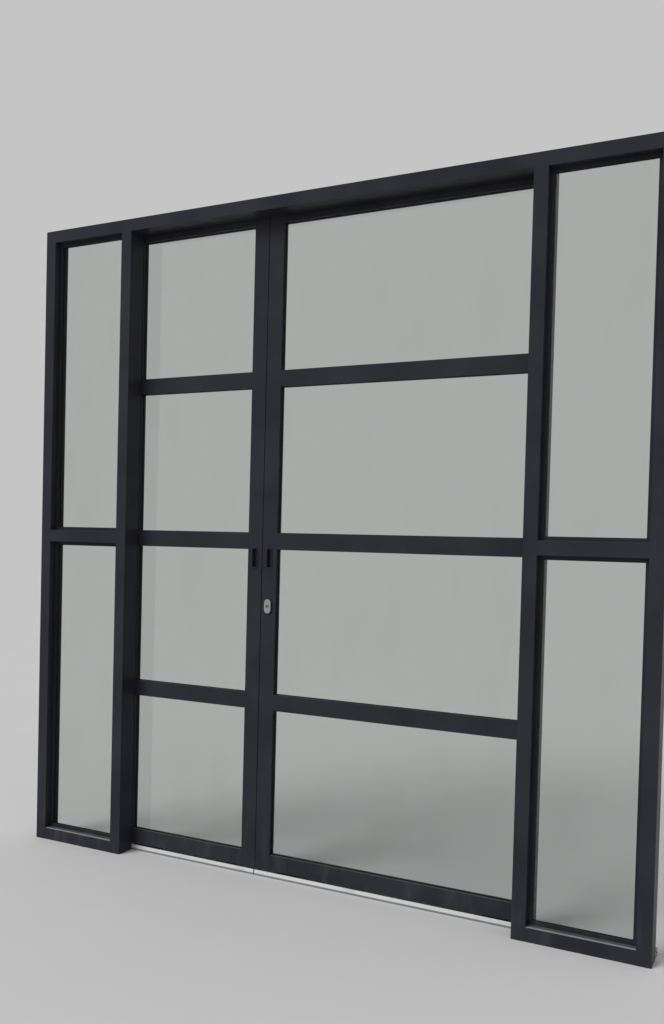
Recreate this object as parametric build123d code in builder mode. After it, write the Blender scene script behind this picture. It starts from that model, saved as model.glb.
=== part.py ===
from build123d import *
from math import sqrt
import os

os.makedirs("parts", exist_ok=True)

# Entrance screen with two sidelights and two sliding glazed leaves of unequal width.
# X runs to the right seen from outside, Y runs into the room and Z runs up.
# The origin is the middle of the footprint, on the floor. All sizes are in millimetres.

# Outer frame and sidelights
frame_width = 2360
frame_height = 2400
frame_depth = 76
member_face = 45
member_wall = 2
edge_radius = 0.8
sidelight_clear = 327
cleat_leg = 90
cleat_thickness = 14
cleat_width = 70
cleat_clearance = 0.2
spigot_length = 28
spigot_wall = 4

# Fixing holes through the jambs
fixing_diameter = 8.5
fixing_count = 4
fixing_end_distance = 250
fixing_back_distance = 20

# Glass and glazing
glass_thickness = 6
gasket_leg = 3
gasket_web = 3
gasket_lip = 1.5
channel_height = 12
channel_wall = 2

# Sliding leaves
leaf_thickness = 32
leaf_wall = 2
leaf_gap = 6
leaf_bottom = 24
leaf_head_gap = 6
left_leaf_sight = 554
left_leaf_offset = 2
right_leaf_offset = 8
meeting_gap = 3
stile_face = 58
top_rail_face = 60
muntin_face = 58
bottom_rail_face = 56
pocket_depth = 14
port_diameter = 9
port_bore = 4.6

# Screws through the stiles into the rails
screw_diameter = 4.4
screw_reach = 24
screw_head_diameter = 8.5
screw_head_height = 2.6
screw_hole = 5
access_hole = 10

# Floor rail
rail_base = 3
rail_lip = 2.5
rail_lip_height = 20
rib_width = 4
rib_height = 9

# Rollers
wheel_radius = 19
wheel_width = 10
groove_radius = 3
wheel_rail_clearance = 0.3
axle_diameter = 6
axle_fit = 0.06
wheel_inset = 70
housing_length = 76
housing_bottom = 14
housing_headroom = 1
wheel_slot_clearance = 1.5

# Top guide
guide_wall = 2.5
guide_flange = 40
guide_skirt = 16
fin_thickness = 3
fin_depth = 17
groove_width = 12
groove_depth = 16
block_length = 40
block_floor = 1
fin_clearance = 0.4
guide_screw_count = 6
guide_screw_inset = 120
guide_screw_edge = 5
guide_screw_head = 2
guide_screw_length = 16

# Seals and stops
seal_width = 7
seal_clearance = 0.3
meeting_seal_setback = 1
stop_length = 25
stop_width = 22
stop_clearance = 1
stop_gap = 0.3

# Flush pulls
pull_above_lock = 40
pull_width = 26
pull_length = 84
pull_flange = 2
recess_width = 18
recess_length = 66
recess_depth = 14
recess_radius = 5
pull_wall = 1.5
cutout_clearance = 0.2

# Lock
lock_height = 974
lock_backset = 29
oval_width = 27
oval_length = 52
oval_projection = 9
oval_edge = 2
barrel_diameter = 19
plug_diameter = 12.9
plug_proud = 1
key_slot_width = 2.2
key_slot_height = 8.4
key_slot_depth = 12
turning_fit = 0.05
lock_end_gap = 0.3
rose_projection = 6
turn_projection = 26
turn_grip_width = 9
turn_grip_length = 32
turn_spindle = 10
case_depth = 39
case_thickness = 14
case_end = 30
plate_width = 15
plate_overlap = 10
plate_thickness = 2
claw_rise = 50
claw_setback = 9
claw_inner = 20
claw_outer = 26
claw_thickness = 6
claw_tip_angle = 103
claw_tail_angle = 23
claw_web_angle = 20
claw_web_overlap = 1
claw_hub_radius = 6
claw_pin = 6
claw_room = 1
slot_clearance = 0.6
keeper_length = 60

# Places worked out from the sizes above
half_width = frame_width / 2
jamb_inner = half_width - member_face
mullion_outer = jamb_inner - sidelight_clear
mullion_inner = mullion_outer - member_face
overall_depth = frame_depth + leaf_gap + leaf_thickness + turn_projection
front_y = -overall_depth / 2
back_y = front_y + frame_depth
frame_mid_y = front_y + frame_depth / 2
leaf_front_y = back_y + leaf_gap
leaf_mid_y = leaf_front_y + leaf_thickness / 2
leaf_back_y = leaf_front_y + leaf_thickness
rail_back_y = leaf_back_y + leaf_gap
leaf_top = frame_height - leaf_head_gap
pocket_width = glass_thickness + 2 * gasket_leg
meeting_x = left_leaf_sight - mullion_inner
lites = 4
leaf_glass_bottom = leaf_bottom + bottom_rail_face
leaf_glass_top = leaf_top - top_rail_face
lite_height = (leaf_glass_top - leaf_glass_bottom - (lites - 1) * muntin_face) / lites
lite_step = lite_height + muntin_face
transom_low = leaf_glass_bottom + 2 * lite_step - muntin_face / 2 - member_face / 2
transom_high = transom_low + member_face
axle_z = rib_height + wheel_rail_clearance + wheel_radius - groove_radius
sides = (("left", -1), ("right", 1))


def upright_section(x_centre):
    """Hollow section of a jamb or mullion, added to the open sketch."""
    with Locations((x_centre, frame_mid_y)):
        RectangleRounded(member_face, frame_depth, edge_radius)
        Rectangle(member_face - 2 * member_wall, frame_depth - 2 * member_wall, mode=Mode.SUBTRACT)


def crossbar_section(z_centre):
    """Hollow section of the head, a transom or a sill rail, added to the open sketch."""
    with Locations((frame_mid_y, z_centre)):
        RectangleRounded(frame_depth, member_face, edge_radius)
        Rectangle(frame_depth - 2 * member_wall, member_face - 2 * member_wall, mode=Mode.SUBTRACT)


def mitre_plane(sign):
    """Plane through the outer top corner of the frame, at 45 degrees."""
    return Plane(origin=(sign * half_width, 0, frame_height), z_dir=(-sign, 0, 1))


def upright_plane(y):
    """Vertical plane facing outside, with its sketch axes along X and Z."""
    return Plane.XZ.offset(-y)


def end_plane(x):
    """Vertical plane facing right, with its sketch axes along Y and Z."""
    return Plane.YZ.offset(x)


# Jambs, with fixing holes through both side walls behind the glass
fixing_y = back_y - fixing_back_distance
fixing_pitch = (frame_height - 2 * fixing_end_distance) / (fixing_count - 1)
for side, sign in sides:
    with BuildPart() as jamb:
        with BuildSketch(Plane.XY):
            upright_section(sign * (half_width - member_face / 2))
        extrude(amount=frame_height)
        split(bisect_by=mitre_plane(sign), keep=Keep.BOTTOM)
        with BuildSketch(end_plane(sign * (half_width - member_face / 2))):
            with Locations((fixing_y, frame_height / 2)):
                with GridLocations(0, fixing_pitch, 1, fixing_count):
                    Circle(fixing_diameter / 2)
        extrude(amount=member_face, both=True, mode=Mode.SUBTRACT)
    jamb.part.label = side + "_jamb"
    export_step(jamb.part, "parts/" + side + "_jamb.step")

# Head, mitred to both jambs and drilled behind for the screws of the top guide
guide_screw_pitch = (frame_width - 2 * guide_screw_inset) / (guide_screw_count - 1)
guide_screw_z = frame_height - guide_flange + guide_screw_edge
with BuildPart() as head:
    with BuildSketch(end_plane(-half_width)):
        crossbar_section(frame_height - member_face / 2)
    extrude(amount=frame_width)
    for side, sign in sides:
        split(bisect_by=mitre_plane(sign), keep=Keep.TOP)
    with BuildSketch(upright_plane(back_y)):
        with Locations((0, guide_screw_z)):
            with GridLocations(guide_screw_pitch, 0, guide_screw_count, 1):
                Circle(port_bore / 2)
    extrude(amount=member_wall, mode=Mode.SUBTRACT)
head.part.label = "head"
export_step(head.part, "parts/head.step")

# Mullions run from the floor up to the underside of the head
for side, sign in sides:
    with BuildPart() as mullion:
        with BuildSketch(Plane.XY):
            upright_section(sign * (mullion_inner + member_face / 2))
        extrude(amount=frame_height - member_face)
    mullion.part.label = side + "_mullion"
    export_step(mullion.part, "parts/" + side + "_mullion.step")

# Sill rail and transom of each sidelight, cut between jamb and mullion
crossbars = (("sill_rail", member_face / 2), ("transom", transom_low + member_face / 2))
for side, sign in sides:
    sidelight_left = min(sign * jamb_inner, sign * mullion_outer)
    for bar_name, bar_z in crossbars:
        with BuildPart() as crossbar:
            with BuildSketch(end_plane(sidelight_left)):
                crossbar_section(bar_z)
            extrude(amount=sidelight_clear)
        crossbar.part.label = side + "_" + bar_name
        export_step(crossbar.part, "parts/" + side + "_" + bar_name + ".step")

# Corner cleats inside the mitres, and a hollow spigot inside each end of each crossbar
cleat_inset = member_wall + cleat_clearance
spigot_depth = frame_depth - 2 * cleat_inset
spigot_height = member_face - 2 * cleat_inset
with BuildPart() as joint_cleats:
    for side, sign in sides:
        corner_x = sign * (half_width - cleat_inset)
        corner_z = frame_height - cleat_inset
        with BuildSketch(upright_plane(frame_mid_y)):
            with Locations((corner_x, corner_z)):
                top_leg = Align.MIN if sign < 0 else Align.MAX
                Rectangle(cleat_leg, cleat_thickness, align=(top_leg, Align.MAX))
                Rectangle(cleat_thickness, cleat_leg, align=(top_leg, Align.MAX))
        extrude(amount=cleat_width / 2, both=True)
        for bar_name, bar_z in crossbars:
            for end_x, inward in ((sign * jamb_inner, -sign), (sign * mullion_outer, sign)):
                with BuildSketch(end_plane(end_x)):
                    with Locations((frame_mid_y, bar_z)):
                        Rectangle(spigot_depth, spigot_height)
                        Rectangle(
                            spigot_depth - 2 * spigot_wall,
                            spigot_height - 2 * spigot_wall,
                            mode=Mode.SUBTRACT,
                        )
                extrude(amount=inward * spigot_length)
joint_cleats.part.label = "joint_cleats"
export_step(joint_cleats.part, "parts/joint_cleats.step")

# Clear openings of the sidelights: name, middle in X, low and high in Z
sidelight_openings = []
for side, sign in sides:
    middle_x = sign * (mullion_outer + sidelight_clear / 2)
    sidelight_openings.append((side + "_lower_pane", middle_x, member_face, transom_low))
    sidelight_openings.append((side + "_upper_pane", middle_x, transom_high, frame_height - member_face))


# Glazing channels: four separate lengths of U section round each sidelight opening
channel_width = pocket_width + 2 * channel_wall
channel_slot = channel_height - channel_wall
channel_lengths = []
for pane_name, middle_x, low_z, high_z in sidelight_openings:
    for base_z, inward in ((low_z, 1), (high_z, -1)):
        with BuildPart() as level_channel:
            with BuildSketch(end_plane(middle_x)):
                with Locations((frame_mid_y, base_z + inward * channel_height / 2)):
                    Rectangle(channel_width, channel_height)
                with Locations((frame_mid_y, base_z + inward * (channel_height - channel_slot / 2))):
                    Rectangle(pocket_width, channel_slot, mode=Mode.SUBTRACT)
            extrude(amount=sidelight_clear / 2, both=True)
        channel_lengths.append(level_channel.part)
    for inward in (-1, 1):
        base_x = middle_x - inward * sidelight_clear / 2
        with BuildPart() as upright_channel:
            with BuildSketch(Plane.XY.offset(low_z + channel_height)):
                with Locations((base_x + inward * channel_height / 2, frame_mid_y)):
                    Rectangle(channel_height, channel_width)
                with Locations((base_x + inward * (channel_height - channel_slot / 2), frame_mid_y)):
                    Rectangle(channel_slot, pocket_width, mode=Mode.SUBTRACT)
            extrude(amount=high_z - low_z - 2 * channel_height)
        channel_lengths.append(upright_channel.part)
sidelight_channels = Compound(label="sidelight_channels", children=channel_lengths)
export_step(sidelight_channels, "parts/sidelight_channels.step")


def pane_solid(middle_x, middle_z, mid_y, sight_width, sight_height, slot):
    """Glass pane whose edges stand in glazing slots of the given depth."""
    engagement = slot - gasket_web
    with BuildPart() as pane:
        with BuildSketch(upright_plane(mid_y)):
            with Locations((middle_x, middle_z)):
                Rectangle(sight_width + 2 * engagement, sight_height + 2 * engagement)
        extrude(amount=glass_thickness / 2, both=True)
    return pane.part


def gasket_solid(middle_x, middle_z, mid_y, sight_width, sight_height, slot):
    """Gasket of U section wrapped round the edge of a pane."""
    engagement = slot - gasket_web
    with BuildPart() as gasket:
        with BuildSketch(upright_plane(mid_y)):
            with Locations((middle_x, middle_z)):
                Rectangle(sight_width + 2 * slot, sight_height + 2 * slot)
                Rectangle(sight_width - 2 * gasket_lip, sight_height - 2 * gasket_lip, mode=Mode.SUBTRACT)
        extrude(amount=pocket_width / 2, both=True)
        with BuildSketch(upright_plane(mid_y)):
            with Locations((middle_x, middle_z)):
                Rectangle(sight_width + 2 * engagement, sight_height + 2 * engagement)
        extrude(amount=glass_thickness / 2, both=True, mode=Mode.SUBTRACT)
    return gasket.part


# Sidelight panes and the gaskets round them
sight_width = sidelight_clear - 2 * channel_height
sidelight_gasket_rings = []
for pane_name, middle_x, low_z, high_z in sidelight_openings:
    place = (middle_x, (low_z + high_z) / 2, frame_mid_y)
    sight = (sight_width, high_z - low_z - 2 * channel_height, channel_slot)
    pane = pane_solid(*place, *sight)
    pane.label = pane_name
    export_step(pane, "parts/" + pane_name + ".step")
    sidelight_gasket_rings.append(gasket_solid(*place, *sight))

with BuildPart() as sidelight_gaskets:
    for ring in sidelight_gasket_rings:
        add(ring)
sidelight_gaskets.part.label = "sidelight_gaskets"
export_step(sidelight_gaskets.part, "parts/sidelight_gaskets.step")

# Floor rail, in two lengths that butt at the meeting line of the leaves
for side, start_x, end_x in (("left", -half_width, meeting_x), ("right", meeting_x, half_width)):
    with BuildPart() as floor_rail:
        with BuildSketch(end_plane(start_x)):
            with Locations((back_y, 0)):
                Rectangle(rail_back_y - back_y, rail_base, align=(Align.MIN, Align.MIN))
                Rectangle(rail_lip, rail_lip_height, align=(Align.MIN, Align.MIN))
            with Locations((rail_back_y, 0)):
                Rectangle(rail_lip, rail_lip_height, align=(Align.MAX, Align.MIN))
            with Locations((leaf_mid_y, 0)):
                Rectangle(rib_width, rib_height - rib_width / 2, align=(Align.CENTER, Align.MIN))
            with Locations((leaf_mid_y, rib_height - rib_width / 2)):
                Circle(rib_width / 2)
        extrude(amount=end_x - start_x)
    floor_rail.part.label = side + "_floor_rail"
    export_step(floor_rail.part, "parts/" + side + "_floor_rail.step")

# Top guide: a flange on the back of the head, a web over the leaves, a fin and a skirt
with BuildPart() as top_guide:
    with BuildSketch(end_plane(-half_width)):
        with Locations((back_y, frame_height)):
            Rectangle(guide_wall, guide_flange, align=(Align.MIN, Align.MAX))
            Rectangle(rail_back_y - back_y, guide_wall, align=(Align.MIN, Align.MAX))
        with Locations((rail_back_y, frame_height)):
            Rectangle(guide_wall, guide_skirt, align=(Align.MAX, Align.MAX))
        with Locations((leaf_mid_y, frame_height)):
            Rectangle(fin_thickness, guide_wall + fin_depth, align=(Align.CENTER, Align.MAX))
    extrude(amount=frame_width)
    with BuildSketch(upright_plane(back_y)):
        with Locations((0, guide_screw_z)):
            with GridLocations(guide_screw_pitch, 0, guide_screw_count, 1):
                Circle(screw_hole / 2)
    extrude(amount=-2 * guide_wall, mode=Mode.SUBTRACT)
top_guide.part.label = "top_guide"
export_step(top_guide.part, "parts/top_guide.step")

# Screws that hold the top guide to the head
with BuildPart() as guide_screws:
    with BuildSketch(upright_plane(back_y + guide_wall)):
        with Locations((0, guide_screw_z)):
            with GridLocations(guide_screw_pitch, 0, guide_screw_count, 1):
                Circle(screw_head_diameter / 2)
    extrude(amount=-guide_screw_head)
    with BuildSketch(upright_plane(back_y + guide_wall)):
        with Locations((0, guide_screw_z)):
            with GridLocations(guide_screw_pitch, 0, guide_screw_count, 1):
                Circle(screw_diameter / 2)
    extrude(amount=guide_screw_length)
guide_screws.part.label = "guide_screws"
export_step(guide_screws.part, "parts/guide_screws.step")

# Pile seals on the backs of the mullions, which brush the leaves
with BuildPart() as pile_seals:
    with BuildSketch(Plane.XY.offset(rail_lip_height)):
        for side, sign in sides:
            with Locations((sign * (mullion_inner + member_face / 2), back_y)):
                Rectangle(seal_width, leaf_gap - seal_clearance, align=(Align.CENTER, Align.MIN))
    extrude(amount=frame_height - guide_flange - rail_lip_height)
pile_seals.part.label = "pile_seals"
export_step(pile_seals.part, "parts/pile_seals.step")

# End stops: rubber blocks that straddle the rib and meet the roller housings
stop_face_x = half_width - stile_face - wheel_inset + housing_length / 2 + stop_gap
with BuildPart() as end_stops:
    for side, sign in sides:
        with BuildSketch(end_plane(sign * stop_face_x)):
            with Locations((leaf_mid_y, rail_base)):
                Rectangle(
                    stop_width,
                    leaf_bottom - stop_clearance - rail_base,
                    align=(Align.CENTER, Align.MIN),
                )
                Rectangle(
                    rib_width,
                    rib_height - rail_base,
                    align=(Align.CENTER, Align.MIN),
                    mode=Mode.SUBTRACT,
                )
        extrude(amount=sign * stop_length)
end_stops.part.label = "end_stops"
export_step(end_stops.part, "parts/end_stops.step")


def glazing_lip_voids(along_x, centre, mouth, inward):
    """Glazing pocket and the two hollow lips beside it, cut from the open sketch."""
    lip = (leaf_thickness - pocket_width) / 2
    lip_offset = pocket_width / 2 + lip / 2
    pocket_centre = mouth + inward * pocket_depth / 2
    lip_centre = mouth + inward * (pocket_depth + leaf_wall) / 2
    lip_length = pocket_depth - leaf_wall
    if along_x:
        with Locations((pocket_centre, centre)):
            Rectangle(pocket_depth, pocket_width, mode=Mode.SUBTRACT)
        with Locations((lip_centre, centre - lip_offset), (lip_centre, centre + lip_offset)):
            Rectangle(lip_length, lip - 2 * leaf_wall, mode=Mode.SUBTRACT)
    else:
        with Locations((centre, pocket_centre)):
            Rectangle(pocket_width, pocket_depth, mode=Mode.SUBTRACT)
        with Locations((centre - lip_offset, lip_centre), (centre + lip_offset, lip_centre)):
            Rectangle(lip - 2 * leaf_wall, lip_length, mode=Mode.SUBTRACT)


def stile_section(edge_x, toward):
    """Hollow stile with a glazing pocket on the side that the sign points to."""
    chamber = stile_face - pocket_depth - 2 * leaf_wall
    with Locations((edge_x + toward * stile_face / 2, leaf_mid_y)):
        RectangleRounded(stile_face, leaf_thickness, edge_radius)
    with Locations((edge_x + toward * (leaf_wall + chamber / 2), leaf_mid_y)):
        Rectangle(chamber, leaf_thickness - 2 * leaf_wall, mode=Mode.SUBTRACT)
    glazing_lip_voids(True, leaf_mid_y, edge_x + toward * stile_face, -toward)


def muntin_section(low_z):
    """Hollow muntin with glazing pockets above and below and a screw port in the middle."""
    middle_z = low_z + muntin_face / 2
    with Locations((leaf_mid_y, middle_z)):
        RectangleRounded(leaf_thickness, muntin_face, edge_radius)
        Rectangle(
            leaf_thickness - 2 * leaf_wall,
            muntin_face - 2 * (pocket_depth + leaf_wall),
            mode=Mode.SUBTRACT,
        )
        Rectangle(leaf_thickness - 2 * leaf_wall, leaf_wall)
        Circle(port_diameter / 2)
        Circle(port_bore / 2, mode=Mode.SUBTRACT)
    glazing_lip_voids(False, leaf_mid_y, low_z, 1)
    glazing_lip_voids(False, leaf_mid_y, low_z + muntin_face, -1)


# The screw ports of the top and bottom rails stand against their pocket floors
bottom_floor_z = leaf_glass_bottom - pocket_depth - leaf_wall
bottom_port_z = bottom_floor_z - port_diameter / 2 + leaf_wall / 2
top_floor_z = leaf_glass_top + pocket_depth + leaf_wall
groove_floor_z = leaf_top - groove_depth - leaf_wall
top_port_z = (top_floor_z + groove_floor_z) / 2


def bottom_rail_section():
    """Bottom rail, open below for the rollers, with a screw port under the pocket."""
    with Locations((leaf_mid_y, leaf_bottom + bottom_rail_face / 2)):
        RectangleRounded(leaf_thickness, bottom_rail_face, edge_radius)
    with Locations((leaf_mid_y, leaf_bottom)):
        Rectangle(
            leaf_thickness - 2 * leaf_wall,
            bottom_floor_z - leaf_bottom,
            align=(Align.CENTER, Align.MIN),
            mode=Mode.SUBTRACT,
        )
    with Locations((leaf_mid_y, bottom_port_z)):
        Circle(port_diameter / 2)
        Circle(port_bore / 2, mode=Mode.SUBTRACT)
    glazing_lip_voids(False, leaf_mid_y, leaf_glass_bottom, -1)


def top_rail_section():
    """Top rail with a guide groove above, a glazing pocket below and a screw port."""
    with Locations((leaf_mid_y, leaf_top - top_rail_face / 2)):
        RectangleRounded(leaf_thickness, top_rail_face, edge_radius)
    with Locations((leaf_mid_y, top_floor_z)):
        Rectangle(
            leaf_thickness - 2 * leaf_wall,
            groove_floor_z - top_floor_z,
            align=(Align.CENTER, Align.MIN),
            mode=Mode.SUBTRACT,
        )
    with Locations((leaf_mid_y, top_port_z)):
        Rectangle(leaf_thickness - 2 * leaf_wall, leaf_wall)
        Circle(port_diameter / 2)
        Circle(port_bore / 2, mode=Mode.SUBTRACT)
    with Locations((leaf_mid_y, leaf_top)):
        Rectangle(groove_width, groove_depth, align=(Align.CENTER, Align.MAX), mode=Mode.SUBTRACT)
    glazing_lip_voids(False, leaf_mid_y, leaf_glass_top, 1)


# Edges of the two leaves: outer edge, meeting edge and the sign from the first to the second.
# Both leaves rest a little to the left of their mullions, so the inner edge of the right outer
# stile shows beside its mullion and that of the left one is hidden.
leaf_edges = {
    "left": (-mullion_inner - left_leaf_offset - stile_face, meeting_x - meeting_gap / 2, 1),
    "right": (mullion_inner - right_leaf_offset + stile_face, meeting_x + meeting_gap / 2, -1),
}
muntin_lows = [leaf_glass_bottom + lite_height + index * lite_step for index in range(lites - 1)]
port_heights = [bottom_port_z] + [low + muntin_face / 2 for low in muntin_lows] + [top_port_z]
muntin_names = ("lower_muntin", "middle_muntin", "upper_muntin")

# Pull and lock places on the meeting stiles
lock_x = leaf_edges["right"][1] + lock_backset
claw_x = leaf_edges["right"][1] + claw_setback
claw_z = lock_height + claw_rise
case_low = lock_height - case_end
case_high = claw_z + case_end
plate_low = case_low - plate_overlap
plate_high = case_high + plate_overlap
pull_height = plate_high + pull_above_lock + pull_length / 2
keeper_reach = claw_setback + meeting_gap
keeper_slot_low = sqrt(claw_inner**2 - (keeper_reach + plate_thickness) ** 2) - slot_clearance
keeper_slot_high = sqrt(claw_outer**2 - keeper_reach**2) + slot_clearance
face_slot_low = claw_hub_radius + claw_room
face_slot_high = sqrt(claw_outer**2 - (claw_setback - plate_thickness) ** 2) + slot_clearance
claw_slot_width = claw_thickness + 2 * claw_room

for side, (outer_edge, meeting_edge, toward) in leaf_edges.items():
    outer_inner = outer_edge + toward * stile_face
    meeting_inner = meeting_edge - toward * stile_face
    span = abs(meeting_inner - outer_inner)
    middle_x = (meeting_inner + outer_inner) / 2
    start_x = min(meeting_inner, outer_inner)
    pull_x = meeting_edge - toward * stile_face / 2

    # Stiles, notched on top for the guide fin and drilled for the rail screws
    for stile_name, edge_x, inward in (
        ("outer_stile", outer_edge, toward),
        ("meeting_stile", meeting_edge, -toward),
    ):
        with BuildPart() as stile:
            with BuildSketch(Plane.XY.offset(leaf_bottom)):
                stile_section(edge_x, inward)
            extrude(amount=leaf_top - leaf_bottom)
            with BuildSketch(end_plane(edge_x)):
                with Locations((leaf_mid_y, leaf_top)):
                    Rectangle(groove_width, groove_depth, align=(Align.CENTER, Align.MAX))
            extrude(amount=inward * stile_face, mode=Mode.SUBTRACT)
            with BuildSketch(end_plane(edge_x)):
                for port_z in port_heights:
                    with Locations((leaf_mid_y, port_z)):
                        Circle(access_hole / 2)
            extrude(amount=inward * leaf_wall, mode=Mode.SUBTRACT)
            with BuildSketch(end_plane(edge_x + inward * (stile_face - pocket_depth))):
                for port_z in port_heights:
                    with Locations((leaf_mid_y, port_z)):
                        Circle(screw_hole / 2)
            extrude(amount=-inward * leaf_wall, mode=Mode.SUBTRACT)
            if stile_name == "meeting_stile":
                with BuildSketch(upright_plane(leaf_mid_y)):
                    with Locations((pull_x, pull_height)):
                        RectangleRounded(
                            recess_width + 2 * (pull_wall + cutout_clearance),
                            recess_length + 2 * (pull_wall + cutout_clearance),
                            recess_radius + pull_wall + cutout_clearance,
                        )
                extrude(amount=leaf_thickness, both=True, mode=Mode.SUBTRACT)
            if stile_name == "meeting_stile" and side == "right":
                with BuildSketch(end_plane(edge_x)):
                    with Locations((leaf_mid_y, (plate_low + plate_high) / 2)):
                        Rectangle(
                            plate_width + 2 * cutout_clearance,
                            plate_high - plate_low + 2 * cutout_clearance,
                        )
                extrude(amount=inward * plate_thickness, mode=Mode.SUBTRACT)
                with BuildSketch(upright_plane(leaf_mid_y)):
                    with Locations((lock_x, lock_height)):
                        Circle(barrel_diameter / 2 + cutout_clearance)
                extrude(amount=leaf_thickness, both=True, mode=Mode.SUBTRACT)
            if stile_name == "meeting_stile" and side == "left":
                with BuildSketch(end_plane(edge_x)):
                    with Locations((leaf_mid_y, claw_z)):
                        Rectangle(
                            plate_width + 2 * cutout_clearance,
                            keeper_length + 2 * cutout_clearance,
                        )
                extrude(amount=inward * plate_thickness, mode=Mode.SUBTRACT)
        stile.part.label = side + "_" + stile_name
        export_step(stile.part, "parts/" + side + "_" + stile_name + ".step")

    # Rails and muntins between the stiles
    with BuildPart() as bottom_rail:
        with BuildSketch(end_plane(start_x)):
            bottom_rail_section()
        extrude(amount=span)
    bottom_rail.part.label = side + "_bottom_rail"
    export_step(bottom_rail.part, "parts/" + side + "_bottom_rail.step")

    with BuildPart() as top_rail:
        with BuildSketch(end_plane(start_x)):
            top_rail_section()
        extrude(amount=span)
    top_rail.part.label = side + "_top_rail"
    export_step(top_rail.part, "parts/" + side + "_top_rail.step")

    for muntin_name, low_z in zip(muntin_names, muntin_lows):
        with BuildPart() as muntin:
            with BuildSketch(end_plane(start_x)):
                muntin_section(low_z)
            extrude(amount=span)
        muntin.part.label = side + "_" + muntin_name
        export_step(muntin.part, "parts/" + side + "_" + muntin_name + ".step")

    # Four equal panes with their gaskets
    lite_places = [
        (middle_x, leaf_glass_bottom + index * lite_step + lite_height / 2, leaf_mid_y)
        for index in range(lites)
    ]
    with BuildPart() as leaf_panes:
        for place in lite_places:
            add(pane_solid(*place, span, lite_height, pocket_depth))
    leaf_panes.part.label = side + "_leaf_panes"
    export_step(leaf_panes.part, "parts/" + side + "_leaf_panes.step")

    with BuildPart() as leaf_gaskets:
        for place in lite_places:
            add(gasket_solid(*place, span, lite_height, pocket_depth))
    leaf_gaskets.part.label = side + "_leaf_gaskets"
    export_step(leaf_gaskets.part, "parts/" + side + "_leaf_gaskets.step")

    # Screws from inside the stiles into the ports of the rails
    with BuildPart() as leaf_screws:
        for seat_x, inward in (
            (outer_inner - toward * (pocket_depth + leaf_wall), toward),
            (meeting_inner + toward * (pocket_depth + leaf_wall), -toward),
        ):
            with BuildSketch(end_plane(seat_x)):
                for port_z in port_heights:
                    with Locations((leaf_mid_y, port_z)):
                        Circle(screw_diameter / 2)
            extrude(amount=inward * (leaf_wall + pocket_depth + screw_reach))
            with BuildSketch(end_plane(seat_x)):
                for port_z in port_heights:
                    with Locations((leaf_mid_y, port_z)):
                        Circle(screw_head_diameter / 2)
            extrude(amount=-inward * screw_head_height)
    leaf_screws.part.label = side + "_leaf_screws"
    export_step(leaf_screws.part, "parts/" + side + "_leaf_screws.step")

    # Roller housings in the bottom rail, each with its axle
    wheel_places = (outer_inner + toward * wheel_inset, meeting_inner - toward * wheel_inset)
    channel_width_leaf = leaf_thickness - 2 * leaf_wall
    housing_top = bottom_port_z - port_diameter / 2 - housing_headroom
    with BuildPart() as roller_housings:
        for wheel_x in wheel_places:
            with BuildSketch(upright_plane(leaf_mid_y)):
                with Locations((wheel_x, housing_bottom)):
                    Rectangle(
                        housing_length,
                        housing_top - housing_bottom,
                        align=(Align.CENTER, Align.MIN),
                    )
            extrude(amount=channel_width_leaf / 2, both=True)
            with BuildSketch(upright_plane(leaf_mid_y)):
                with Locations((wheel_x, axle_z)):
                    Circle(wheel_radius + wheel_slot_clearance)
                with Locations((wheel_x, housing_bottom)):
                    Rectangle(
                        2 * (wheel_radius + wheel_slot_clearance),
                        axle_z - housing_bottom,
                        align=(Align.CENTER, Align.MIN),
                    )
            extrude(amount=wheel_width / 2 + wheel_slot_clearance, both=True, mode=Mode.SUBTRACT)
            with BuildSketch(upright_plane(leaf_mid_y)):
                with Locations((wheel_x, axle_z)):
                    Circle(axle_diameter / 2)
            extrude(amount=channel_width_leaf / 2, both=True)
    roller_housings.part.label = side + "_roller_housings"
    export_step(roller_housings.part, "parts/" + side + "_roller_housings.step")

    # Grooved wheels that run on the rib of the floor rail
    for wheel_name, wheel_x in zip(("outer_wheel", "meeting_wheel"), wheel_places):
        with BuildPart() as wheel:
            with BuildSketch(end_plane(wheel_x)):
                with Locations((leaf_mid_y, axle_z)):
                    Rectangle(wheel_width, wheel_radius, align=(Align.CENTER, Align.MIN))
                    Rectangle(
                        wheel_width,
                        axle_diameter / 2 + axle_fit,
                        align=(Align.CENTER, Align.MIN),
                        mode=Mode.SUBTRACT,
                    )
                with Locations((leaf_mid_y, axle_z + wheel_radius)):
                    Circle(groove_radius, mode=Mode.SUBTRACT)
            revolve(axis=Axis((wheel_x, leaf_mid_y, axle_z), (0, 1, 0)))
        wheel.part.label = side + "_" + wheel_name
        export_step(wheel.part, "parts/" + side + "_" + wheel_name + ".step")

    # Guide blocks in the top groove, slotted for the fin
    with BuildPart() as guide_blocks:
        for block_x in (outer_inner + toward * block_length / 2, meeting_inner - toward * block_length / 2):
            with BuildSketch(end_plane(block_x)):
                with Locations((leaf_mid_y, leaf_top - groove_depth)):
                    Rectangle(groove_width, groove_depth, align=(Align.CENTER, Align.MIN))
                with Locations((leaf_mid_y, leaf_top - groove_depth + block_floor)):
                    Rectangle(
                        fin_thickness + 2 * fin_clearance,
                        groove_depth,
                        align=(Align.CENTER, Align.MIN),
                        mode=Mode.SUBTRACT,
                    )
            extrude(amount=block_length / 2, both=True)
    guide_blocks.part.label = side + "_guide_blocks"
    export_step(guide_blocks.part, "parts/" + side + "_guide_blocks.step")

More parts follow.
